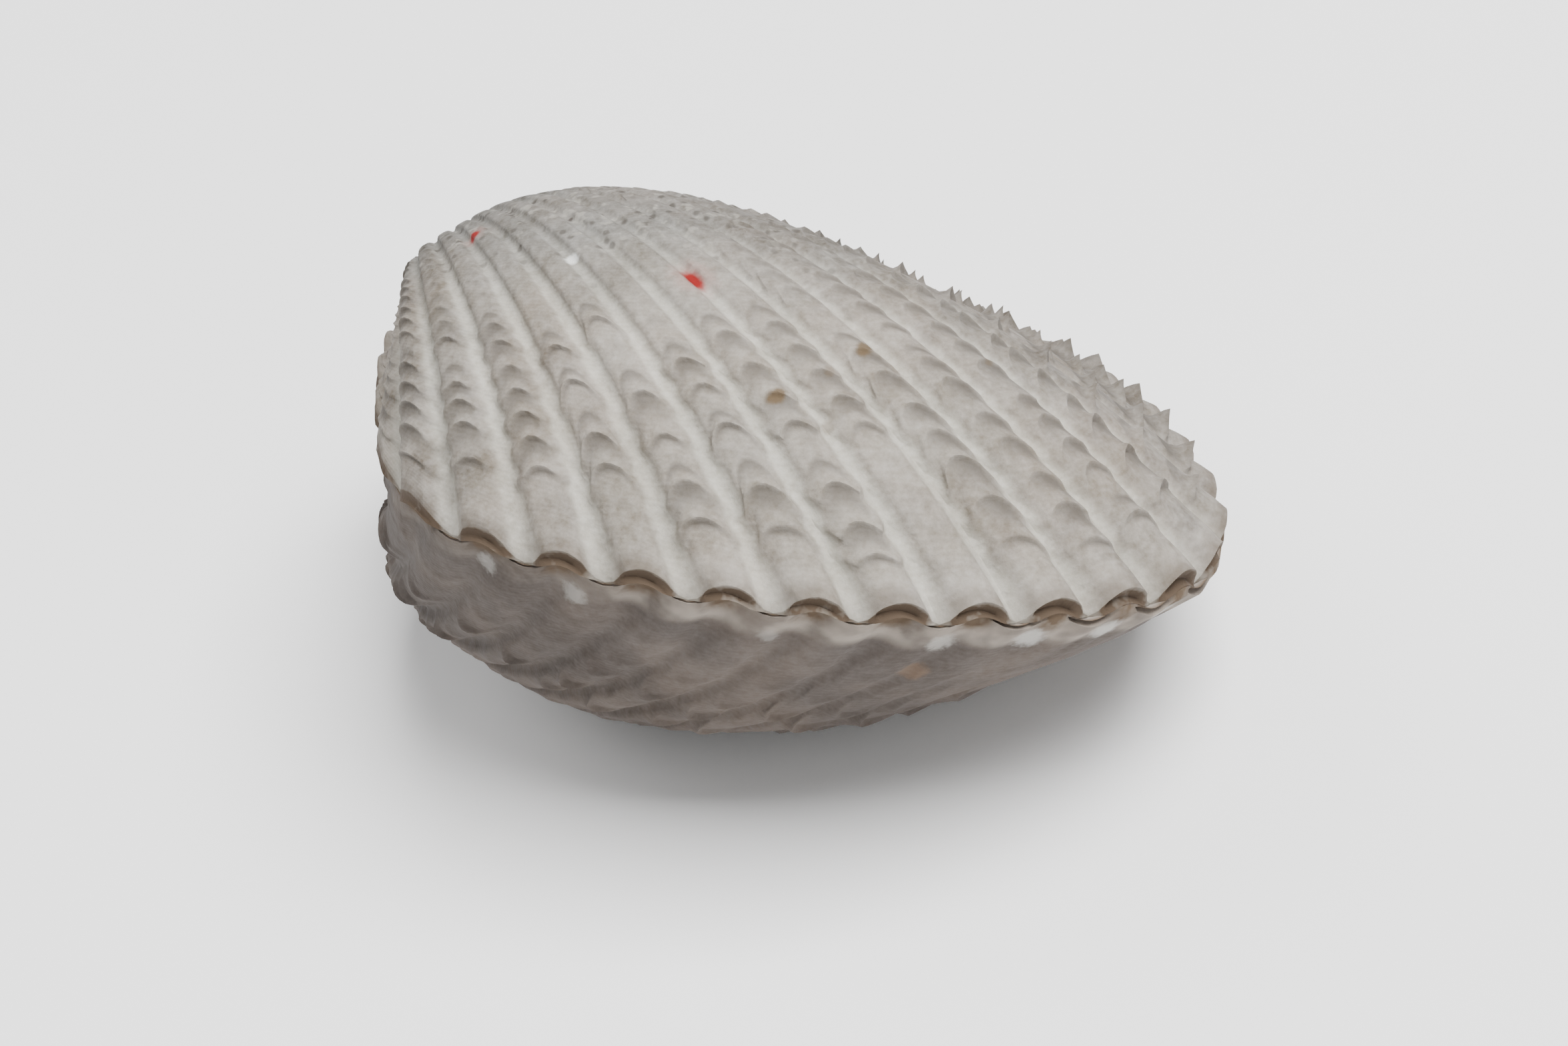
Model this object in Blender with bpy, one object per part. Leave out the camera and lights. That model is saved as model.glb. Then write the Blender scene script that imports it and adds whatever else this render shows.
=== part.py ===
"""File clam shell, closed: two ribbed valves that meet along a waved margin, and the ligament between their beaks.

Each valve is a grown surface. Every point of the margin is carried back towards the beak along a rib line,
shrinking as it goes (stage runs from 0 at the beak to 1 at the margin) while the plane of growth turns about the
hinge line. Broad ribs run along those lines, and each rib carries overlapping scales whose free edges face the
margin. The lower valve mirrors the upper one, with its ribs under the upper valve's grooves, so that the two waved
margins fit into each other.

Valve axes: +X along the hinge line, -Y towards the ventral margin, +Z out of the upper valve. The shell lies on its
lower valve, so the whole of it is turned to the pose in which it comes to rest, with the floor at Z = 0 and the
origin on the floor under the middle of the shell.
"""

import math
from dataclasses import dataclass

import bmesh
import bpy
import numpy as np
from mathutils import Matrix, Vector

# Outline of the commissure: distance from the beak to the margin, by direction about the beak.
MARGIN_DIRECTIONS = np.radians((-90, -72, -55, -38, -20, 0, 20, 40, 60, 76, 90))
MARGIN_REACH = 0.001 * np.array((16.0, 20.0, 29.0, 45.5, 53.5, 61.5, 64.5, 53.0, 40.0, 30.0, 22.0))

# Growth: how far the growth plane has turned at the beak, and how the rib lines bend on the way to the margin.
BEAK_TURN = math.radians(55.6)
TURN_POWER = 1.40
RIB_BEND = 0.526
RIB_BEND_LATE = 0.583
BEND_LIMIT = 0.88
FLANK_BULGE = 0.107
FRONT_BULGE = 0.401

# Ribs: groove number k lies at RIB_MIDDLE + RIB_PITCH * (d + RIB_SPREAD * d^3), with d = k - RIB_ZERO.
RIB_COUNT = 24
RIB_MIDDLE = math.radians(9.9)
RIB_PITCH = math.radians(5.05)
RIB_SPREAD = 0.00205
RIB_ZERO = 13
RIB_HEIGHT = 0.0010
RIB_ROUNDING = 2.4
COLUMNS_PER_RIB = 4

# Scales on the ribs.
SCALE_ROWS = 9
FIRST_SCALE = 0.18
SCALE_DROP = 0.012
SCALE_LIP_MIDDLE = 0.0006
SCALE_LIP_FLANK = 0.0013

# Wall and hinge.
WALL = 0.0012
HINGE_PLATE = 0.0026
MARGIN_GAP = 0.0004
MARGIN_WAVE = 0.00065
MARGIN_EDGE = 0.00035
EAR_EDGE = 0.0009
BEAK_LIFT = 0.0009
BEAK_REACH = 0.0048

# Ligament between the beaks.
LIGAMENT_LENGTH = 0.0062
LIGAMENT_DEPTH = 0.0018
LIGAMENT_GAP = 0.0003

# Pose at rest on the bulge of the lower valve: the hinge end and the hind side are the lower ones.
REST_PITCH = math.radians(-10.4)
REST_ROLL = math.radians(22.3)


@dataclass(frozen=True)
class Valve:
    """One valve: which way it bulges and where its ribs lie in the rib numbering."""

    name: str
    side: int
    rib_shift: float
    colour: tuple


UPPER = Valve("upper_valve", 1, 0.0, (0.66, 0.64, 0.61, 1.0))
LOWER = Valve("lower_valve", -1, 0.5, (0.50, 0.46, 0.43, 1.0))


def margin_reach(direction):
    """Distance from the beak to the margin in each direction, a smooth curve through the outline's stations."""
    slopes = np.gradient(MARGIN_REACH, MARGIN_DIRECTIONS)
    place = np.clip(np.searchsorted(MARGIN_DIRECTIONS, direction) - 1, 0, len(MARGIN_REACH) - 2)
    span = MARGIN_DIRECTIONS[place + 1] - MARGIN_DIRECTIONS[place]
    t = (direction - MARGIN_DIRECTIONS[place]) / span
    start = MARGIN_REACH[place] * (2 * t**3 - 3 * t**2 + 1) + slopes[place] * span * (t**3 - 2 * t**2 + t)
    end = MARGIN_REACH[place + 1] * (3 * t**2 - 2 * t**3) + slopes[place + 1] * span * (t**3 - t**2)
    return start + end


def grown(direction, stage):
    """Points of the smooth upper valve, before its ribs, in valve axes."""
    reach = stage * margin_reach(direction)
    turn = BEAK_TURN * (1 - stage**TURN_POWER)
    left = np.minimum(1 - stage, BEND_LIMIT)
    bent = direction - (RIB_BEND * left + RIB_BEND_LATE * left**2) * np.cos(direction)
    out = reach * np.cos(bent)
    bulge = 1 + FLANK_BULGE * np.sin(bent) ** 2 - FRONT_BULGE * np.sin(bent)
    return np.stack([reach * np.sin(bent), -out * np.cos(turn), out * bulge * np.sin(turn)], axis=-1)


def outward(direction, stage):
    """Unit normals of the smooth valve, pointing out of the shell."""
    step = 0.002
    inner = np.clip(stage, 0.04, 1 - step)
    flat = np.clip(direction, -math.radians(89), math.radians(89))
    across = grown(flat + step, inner) - grown(flat - step, inner)
    along = grown(flat, inner + step) - grown(flat, inner - step)
    normal = np.cross(along, across)
    normal /= np.linalg.norm(normal, axis=-1, keepdims=True)
    return normal * np.where(normal[..., 2:] < 0, -1.0, 1.0)


def rib_direction(number):
    """Direction about the beak of a place in the rib numbering (whole numbers are the upper valve's grooves)."""
    away = number - RIB_ZERO
    return RIB_MIDDLE + RIB_PITCH * (away + RIB_SPREAD * away**3)


def lip_height(direction):
    """Height of a scale's free edge: low along the middle of the disc, standing up on the flanks."""
    flank = np.clip((np.abs(direction - RIB_MIDDLE + math.radians(12)) - math.radians(22)) / math.radians(30), 0, 1)
    return SCALE_LIP_MIDDLE + (SCALE_LIP_FLANK - SCALE_LIP_MIDDLE) * flank * flank * (3 - 2 * flank)


def columns():
    """Directions of the sheet's columns and their rib numbers. The two at each end lie on the hinge line."""
    numbers = np.linspace(-0.5, RIB_COUNT + 0.5, (RIB_COUNT + 1) * COLUMNS_PER_RIB + 1)
    left, right = [-math.pi / 2] * 2, [math.pi / 2] * 2
    directions = np.concatenate([left, rib_direction(numbers), right])
    return directions, np.concatenate([numbers[:1], numbers[:1], numbers, numbers[-1:], numbers[-1:]])


def crest_of(numbers, valve):
    """Profile across the ribs: 0 in a groove, 1 on a rib's crest, and 0 on the ears beside the last grooves."""
    place = numbers - valve.rib_shift
    across = np.abs(2 * (place - np.floor(place)) - 1)
    inside = (numbers > valve.rib_shift - 0.01) & (numbers < RIB_COUNT - valve.rib_shift + 0.01)
    return np.where(inside, 1 - across**RIB_ROUNDING, 0.0)


def rows():
    """Growth stages of the sheet's rows from beak to margin, and for each 1 where a scale's lip stands."""
    lips = np.linspace(FIRST_SCALE, 1.0, SCALE_ROWS)
    stages = [0.0, 0.05, 0.11]
    lip = [0.0, 0.0, 0.0]
    for stage in lips[:-1]:
        stages += [stage, stage + SCALE_DROP]
        lip += [1.0, 0.0]
    return np.array(stages + [1.0, 1.0]), np.array(lip + [0.6, 0.6])


def edge_height(direction, stage):
    """How far the outer skin stands clear of the commissure: a thin lip, thicker on the ears, none at the beak."""
    height = MARGIN_EDGE + (EAR_EDGE - MARGIN_EDGE) * np.sin(direction) ** 4
    height = height * np.clip(stage / 0.12, 0, 1)
    height[:, [0, -1]] = 0.0
    height[-1] = 0.0
    return height


def lifted(points, valve, wave):
    """Points moved to their side of the commissure, with room for the ligament near the beaks."""
    far = np.hypot(points[..., 0], points[..., 1])
    lift = BEAK_LIFT * np.clip(1 - (far / BEAK_REACH) ** 2, 0, 1)
    moved = points.copy()
    moved[..., 2] = valve.side * (points[..., 2] + lift + MARGIN_GAP / 2) + wave
    return moved


def margin_wave(numbers, stage):
    """Rise of the margin where it runs over the upper valve's ribs, and its fall under the grooves."""
    ends = np.clip(np.minimum(numbers, RIB_COUNT - numbers), 0, 1)
    near = np.clip((stage - 0.90) / 0.10, 0, 1) ** 2
    return MARGIN_WAVE * np.cos(2 * math.pi * (numbers - 0.5)) * ends * near


def sheet(valve):
    """The valve's whole skin as rows of points: beak to margin outside, then margin back to the beak inside."""
    directions, numbers = columns()
    stages, lip = rows()
    angle, stage = np.meshgrid(directions, stages)
    crest = np.broadcast_to(crest_of(numbers, valve), angle.shape)
    stagger = 0.05 * np.sin(2.4 * np.floor(numbers - valve.rib_shift + 0.001))
    stage = stage + stagger * crest * stage * (1 - stage) * (stage > 0.12)
    base = grown(angle, stage)
    lips = np.where(crest > 0.5, lip[:, None], 0.0) * lip_height(angle) * stage**0.6
    relief = crest * RIB_HEIGHT * stage**0.7 + lips
    normal = outward(angle, stage)
    normal[-2:, :, 2] = 0.0
    skin = base + normal * relief[..., None]
    skin[..., 2] += edge_height(angle, stage)
    outer = lifted(skin, valve, margin_wave(numbers, stage))

    angle, stage = np.meshgrid(directions, np.array([1.0, 0.80, 0.50, 0.0]))
    inner = grown(angle, stage)
    reach = np.abs(inner[0]).max(axis=0)
    top = base[..., 2].max()
    inner *= np.array([1 - 1.3 * WALL / reach[0], 1 - (WALL + HINGE_PLATE) / reach[1], 1 - WALL / top])
    inner[..., 1] -= HINGE_PLATE
    inner = lifted(inner, valve, margin_wave(numbers, stage))
    return np.concatenate([outer, inner]), len(outer)


def shell_mesh(valve):
    """Closed mesh of one valve: a grid laid over the skin's rows, with its two side edges joined by the hinge plate."""
    points, outer_rows = sheet(valve)
    row_count, column_count = points.shape[:2]
    bm = bmesh.new()
    bmesh.ops.create_grid(bm, x_segments=column_count - 1, y_segments=row_count - 1, size=1.0)
    row_of = bm.verts.layers.int.new("row")
    for vert in bm.verts:
        column = round((vert.co.x + 1) / 2 * (column_count - 1))
        row = round((vert.co.y + 1) / 2 * (row_count - 1))
        vert[row_of] = row
        vert.co = Vector(points[row, column])
    bmesh.ops.remove_doubles(bm, verts=bm.verts, dist=1e-6)
    inside = {vert for vert in bm.verts if vert[row_of] >= outer_rows}
    open_edges = [edge for edge in bm.edges if edge.is_boundary]
    hinge = [edge for edge in open_edges if (edge.verts[0] in inside) == (edge.verts[1] in inside)]
    bmesh.ops.bridge_loops(bm, edges=hinge)
    bmesh.ops.recalc_face_normals(bm, faces=bm.faces)
    mesh = bpy.data.meshes.new(valve.name)
    bm.to_mesh(mesh)
    bm.free()
    mesh.shade_smooth()
    mesh.set_sharp_from_angle(angle=math.radians(35))
    return mesh


def ligament_mesh():
    """A short springy pad, deepest at the beaks and thinning along the hinge line both ways."""
    bm = bmesh.new()
    bmesh.ops.create_grid(bm, x_segments=10, y_segments=1, size=1.0)
    solid = bmesh.ops.extrude_face_region(bm, geom=list(bm.faces))
    for vert in [item for item in solid["geom"] if isinstance(item, bmesh.types.BMVert)]:
        vert.co.z = 1.0
    for vert in bm.verts:
        along = vert.co.x * LIGAMENT_LENGTH / 2
        room = MARGIN_GAP / 2 + BEAK_LIFT * (1 - (math.hypot(along, HINGE_PLATE) / BEAK_REACH) ** 2)
        half = max(room - LIGAMENT_GAP, 0.00012)
        deep = -0.0003 - LIGAMENT_DEPTH * (vert.co.y + 1) / 2
        vert.co = Vector((along, deep, half * (2 * vert.co.z - 1)))
    bmesh.ops.recalc_face_normals(bm, faces=bm.faces)
    mesh = bpy.data.meshes.new("ligament")
    bm.to_mesh(mesh)
    bm.free()
    return mesh


def finish(name, colour, roughness):
    """A plain surface of one colour."""
    material = bpy.data.materials.new(name)
    material.use_nodes = True
    shader = material.node_tree.nodes["Principled BSDF"]
    shader.inputs["Base Color"].default_value = colour
    shader.inputs["Roughness"].default_value = roughness
    shader.inputs["Metallic"].default_value = 0.0
    return material


def place(name, mesh, material, collection, parent):
    """Adds one piece of the shell to its collection."""
    mesh.materials.append(material)
    piece = bpy.data.objects.new(name, mesh)
    piece.parent = parent
    collection.objects.link(piece)
    return piece


def main():
    for old in list(bpy.data.objects):
        bpy.data.objects.remove(old, do_unlink=True)
    collection = bpy.data.collections.new("File clam shell")
    bpy.context.scene.collection.children.link(collection)
    rest = bpy.data.objects.new("rest_pose", None)
    collection.objects.link(rest)
    pieces = [
        place(valve.name, shell_mesh(valve), finish(valve.name, valve.colour, 0.75), collection, rest)
        for valve in (UPPER, LOWER)
    ]
    ligament = finish("ligament", (0.10, 0.055, 0.03, 1.0), 0.6)
    pieces.append(place("ligament", ligament_mesh(), ligament, collection, rest))
    turn = Matrix.Rotation(REST_PITCH, 4, "X") @ Matrix.Rotation(REST_ROLL, 4, "Y")
    skin = np.array([turn @ vert.co for piece in pieces for vert in piece.data.vertices])
    low, high = skin.min(axis=0), skin.max(axis=0)
    middle = (low + high) / 2
    rest.matrix_world = Matrix.Translation((-middle[0], -middle[1], -low[2])) @ turn


main()
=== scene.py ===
"""Looks of the closed file clam shell: its two scaly valves, the ligament and the studio."""

from __future__ import annotations

import logging
import math
from dataclasses import dataclass, field, replace
from enum import Enum
from functools import cached_property, partial, reduce

import bmesh
import bpy
import numpy as np
from mathutils import Matrix, Vector

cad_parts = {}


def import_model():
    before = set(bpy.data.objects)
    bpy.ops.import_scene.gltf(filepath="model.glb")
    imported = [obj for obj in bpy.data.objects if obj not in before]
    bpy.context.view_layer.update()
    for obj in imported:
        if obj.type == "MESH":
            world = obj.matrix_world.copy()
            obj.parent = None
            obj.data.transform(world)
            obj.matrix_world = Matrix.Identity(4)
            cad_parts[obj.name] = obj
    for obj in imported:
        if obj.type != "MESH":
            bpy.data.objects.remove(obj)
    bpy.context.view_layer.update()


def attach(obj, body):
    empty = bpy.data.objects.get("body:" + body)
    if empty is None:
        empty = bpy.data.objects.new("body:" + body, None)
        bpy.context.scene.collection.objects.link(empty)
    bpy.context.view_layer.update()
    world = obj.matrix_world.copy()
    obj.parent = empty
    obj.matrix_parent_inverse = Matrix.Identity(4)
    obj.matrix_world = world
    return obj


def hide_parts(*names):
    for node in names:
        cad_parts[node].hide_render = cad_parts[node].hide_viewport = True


logging.basicConfig(level=logging.INFO, format="%(message)s")
log = logging.getLogger("file_clam_shell")

NUMBER = "NodeSocketFloat"
PLACE = "NodeSocketVector"

Colour = tuple[float, float, float, float]
Span = tuple[float, float]
Masks = dict[str, np.ndarray]
Inputs = dict[str | int, object]
Socket = bpy.types.NodeSocket
Tree = bpy.types.ShaderNodeTree


class Side(Enum):
    """Which valve of the closed shell, by the way it bulges from the commissure."""

    UPPER = 1
    LOWER = -1


def smooth(value: np.ndarray, start: float, end: float) -> np.ndarray:
    """Smooth step of value from 0 at start to 1 at end.

    Args:
        value: The numbers to grade.
        start: Where the step begins.
        end: Where the step is complete.

    Returns:
        Numbers from 0 to 1.
    """
    t = np.clip((value - start) / (end - start), 0.0, 1.0)
    return t * t * (3.0 - 2.0 * t)


def speckle(*numbers: np.ndarray) -> np.ndarray:
    """Repeatable scatter from 0 to 1, one for each set of whole numbers.

    Args:
        numbers: Arrays of whole numbers, such as a rib's and a scale's.

    Returns:
        Numbers from 0 to 1.
    """
    mixed = 0.0
    for k, number in enumerate(numbers):
        mixed = mixed + np.sin(number * (12.9898 + 65.233 * k) + 4.1 * k) * (43.7585 + 11.3 * k)
    return mixed - np.floor(mixed)


def finished(bm: bmesh.types.BMesh, name: str) -> bpy.types.Object:
    """Turns a worked mesh into a piece of the scene.

    Args:
        bm: The worked mesh, which is freed.
        name: The piece's name.

    Returns:
        The piece.
    """
    mesh = bpy.data.meshes.new(name)
    bm.to_mesh(mesh)
    bm.free()
    piece = bpy.data.objects.new(name, mesh)
    bpy.context.scene.collection.objects.link(piece)
    return piece


@dataclass(frozen=True)
class Zones:
    """Where the shell changes, each from the start of the change to where it is complete.

    The first seven are places in the rib numbering, and the rest are growth stages.
    """

    rib_widening: Span = (6.0, 13.0)
    disc_left: Span = (4.0, 7.5)
    disc_right: Span = (13.5, 11.0)
    flank: Span = (14.5, 17.5)
    hind_left: Span = (10.5, 13.5)
    hind_right: Span = (24.0, 21.0)
    clean_lip: Span = (6.0, 8.5)
    scales_worn: Span = (0.76, 0.72)
    scales_fading: Span = (0.78, 0.90)
    deep_ribs: Span = (0.90, 0.72)
    swelling: Span = (0.84, 0.97)
    ribs_fading: Span = (0.955, 1.0)
    rim_arches: Span = (0.945, 1.0)


ZONES = Zones()


@dataclass(frozen=True)
class Growth:
    """The grown surface of a valve and the pose in which the shell lies, as the solids have them.

    Lengths are in metres and angles in degrees. A direction is measured about the beak, and stage runs
    from 0 at the beak to 1 at the margin. The ribs are narrower on the left.
    """

    directions: tuple[float, ...] = (-90, -72, -55, -38, -20, 0, 20, 40, 60, 76, 90)
    reach_mm: tuple[float, ...] = (16.0, 20.0, 29.0, 45.5, 53.5, 61.5, 64.5, 53.0, 40.0, 30.0, 22.0)
    beak_turn: float = 55.6
    turn_power: float = 1.40
    rib_bend: float = 0.526
    rib_bend_late: float = 0.583
    bend_limit: float = 0.88
    flank_bulge: float = 0.107
    front_bulge: float = 0.401
    rib_count: int = 24
    rib_middle: float = 9.9
    rib_pitch: float = 5.05
    rib_spread: float = 0.00205
    rib_zero: float = 13.0
    wall: float = 0.0012
    hinge_plate: float = 0.0026
    margin_gap: float = 0.00004
    margin_wave: float = 0.00048
    margin_edge: float = 0.00010
    ear_edge: float = 0.0009
    beak_lift: float = 0.0009
    beak_reach: float = 0.0048
    rib_height: float = 0.00095
    rib_width: float = 0.64
    rib_widening: float = 0.09
    rib_foot: float = 0.20
    rib_slope: float = 0.42
    rib_round: float = 0.15
    rib_growth: float = 1.5
    rest_pitch: float = -10.4
    rest_roll: float = 22.3
    rest_place: tuple[float, float, float] = (-0.0029317, 0.0314834, 0.0133314)

    def reach(self, direction: np.ndarray) -> np.ndarray:
        """Distance from the beak to the margin.

        Args:
            direction: Directions about the beak, in radians.

        Returns:
            Distances in metres, on a smooth curve through the outline's stations.
        """
        angle = np.radians(self.directions)
        value = 0.001 * np.array(self.reach_mm)
        slope = np.gradient(value, angle)
        k = np.clip(np.searchsorted(angle, direction) - 1, 0, len(value) - 2)
        span = angle[k + 1] - angle[k]
        t = (direction - angle[k]) / span
        first = value[k] * (2 * t**3 - 3 * t**2 + 1) + slope[k] * span * (t**3 - 2 * t**2 + t)
        second = value[k + 1] * (3 * t**2 - 2 * t**3) + slope[k + 1] * span * (t**3 - t**2)
        return first + second

    def point(self, direction: np.ndarray, stage: np.ndarray) -> np.ndarray:
        """Points of the smooth upper valve in valve axes.

        Args:
            direction: Directions about the beak, in radians.
            stage: Growth stages.

        Returns:
            Points, with the last axis X, Y, Z.
        """
        away = stage * self.reach(direction)
        turn = math.radians(self.beak_turn) * (1 - stage**self.turn_power)
        left = np.minimum(1 - stage, self.bend_limit)
        bent = direction - (self.rib_bend * left + self.rib_bend_late * left**2) * np.cos(direction)
        out = away * np.cos(bent)
        bulge = 1 + self.flank_bulge * np.sin(bent) ** 2 - self.front_bulge * np.sin(bent)
        return np.stack([away * np.sin(bent), -out * np.cos(turn), out * bulge * np.sin(turn)], axis=-1)

    def outward(self, direction: np.ndarray, stage: np.ndarray) -> np.ndarray:
        """Unit normals out of the shell.

        Args:
            direction: Directions about the beak, in radians.
            stage: Growth stages.

        Returns:
            The normals, with the last axis X, Y, Z.
        """
        step = 0.002
        inner = np.clip(stage, 0.04, 1 - step)
        flat = np.clip(direction, -math.radians(89), math.radians(89))
        across = self.point(flat + step, inner) - self.point(flat - step, inner)
        along = self.point(flat, inner + step) - self.point(flat, inner - step)
        normal = np.cross(along, across)
        normal /= np.linalg.norm(normal, axis=-1, keepdims=True)
        return normal * np.where(normal[..., 2:] < 0, -1.0, 1.0)

    def rib_direction(self, number: np.ndarray) -> np.ndarray:
        """Direction about the beak of a place in the rib numbering, in radians."""
        away = number - self.rib_zero
        return np.radians(self.rib_middle + self.rib_pitch * (away + self.rib_spread * away**3))

    def half_width(self, numbers: np.ndarray) -> np.ndarray:
        """Half a rib's width as a share of half the ribs' pitch, at places in the rib numbering."""
        return self.rib_width + self.rib_widening * smooth(numbers, *ZONES.rib_widening)

    def rise(self, across: np.ndarray, numbers: np.ndarray) -> np.ndarray:
        """Profile across a rib, from 0 in the grooves to 1 on its crest.

        Args:
            across: Places across the rib, from -1 to 1.
            numbers: Places in the rib numbering.

        Returns:
            Shares of the rib's height.
        """
        edge = self.half_width(numbers) + self.rib_foot - np.abs(across)
        return smooth(edge, 0.0, self.rib_slope) * (1 - self.rib_round) + self.rib_round * (1 - across**2)

    def rest(self) -> Matrix:
        """The turn and lift from valve axes to the shell lying on the floor.

        Returns:
            The matrix of both.
        """
        turn = Matrix.Rotation(math.radians(self.rest_pitch), 4, "X")
        turn = turn @ Matrix.Rotation(math.radians(self.rest_roll), 4, "Y")
        return Matrix.Translation(self.rest_place) @ turn

    def place(self, side: Side, number: float, stage: float, height: float) -> Vector:
        """A point on a valve's ribbed skin as the shell lies.

        Args:
            side: The valve.
            number: Place in the rib numbering.
            stage: Growth stage.
            height: Distance out from the ribbed skin, in metres.

        Returns:
            The point in the frame's axes.
        """
        direction = self.rib_direction(np.array([[float(number)]]))
        at = np.array([[float(stage)]])
        normal = self.outward(direction, at)
        shift = 0.0 if side is Side.UPPER else 0.5
        rise = float(self.rise(np.array(2 * ((number - shift) % 1.0) - 1), np.array(number)))
        relief = height + rise * self.rib_height * stage**self.rib_growth
        spot = (self.point(direction, at) + normal * relief)[0, 0]
        spot[2] = side.value * spot[2] + float(self.wave(np.array(number), np.array(stage)))
        return self.rest() @ Vector(spot)

    def wave(self, numbers: np.ndarray, stage: np.ndarray) -> np.ndarray:
        """Rise of the commissure over the upper valve's ribs and its fall under the grooves.

        Args:
            numbers: Places in the rib numbering.
            stage: Growth stages.

        Returns:
            Heights in metres along the valve axes' Z.
        """
        ends = np.clip(np.minimum(numbers, self.rib_count - numbers), 0, 1)
        near = np.clip((stage - 0.90) / 0.10, 0, 1) ** 2
        return self.margin_wave * np.cos(2 * math.pi * (numbers - 0.5)) * ends * near


@dataclass(frozen=True)
class ScaleCut:
    """Shape of one scale along its rib, in shares of the scales' spacing and of its height.

    Hollow is painted shade, with some grime, at each step; flare is how far it spreads over its rib's
    sides.
    """

    steps: tuple[float, ...] = (0.0, 0.14, 0.40, 0.66, 0.80, 0.855, 0.91)
    heights: tuple[float, ...] = (0.0, 0.03, 0.24, 0.62, 1.0, 0.62, 0.04)
    # hollow: painted shade, with some grime, under each scale's free edge
    hollow: tuple[float, ...] = (1.0, 0.80, 0.22, 0.0, 0.10, 0.60, 1.0)
    flare: tuple[float, ...] = (0.0, 0.10, 0.40, 0.80, 1.0, 0.9, 0.5)


@dataclass(frozen=True)
class RimCut:
    """Shape of the rib ends at the margin: stage, share of the rib's arch and of the lip, and staining."""

    stages: tuple[float, ...] = (1.0, 0.9955, 0.9905, 0.9998)
    arches: tuple[float, ...] = (1.0, 0.84, 0.40, 0.0)
    lips: tuple[float, ...] = (1.0, 0.70, 0.35, 0.0)
    stains: tuple[float, ...] = (0.30, 0.95, 1.0, 0.90)


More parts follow.
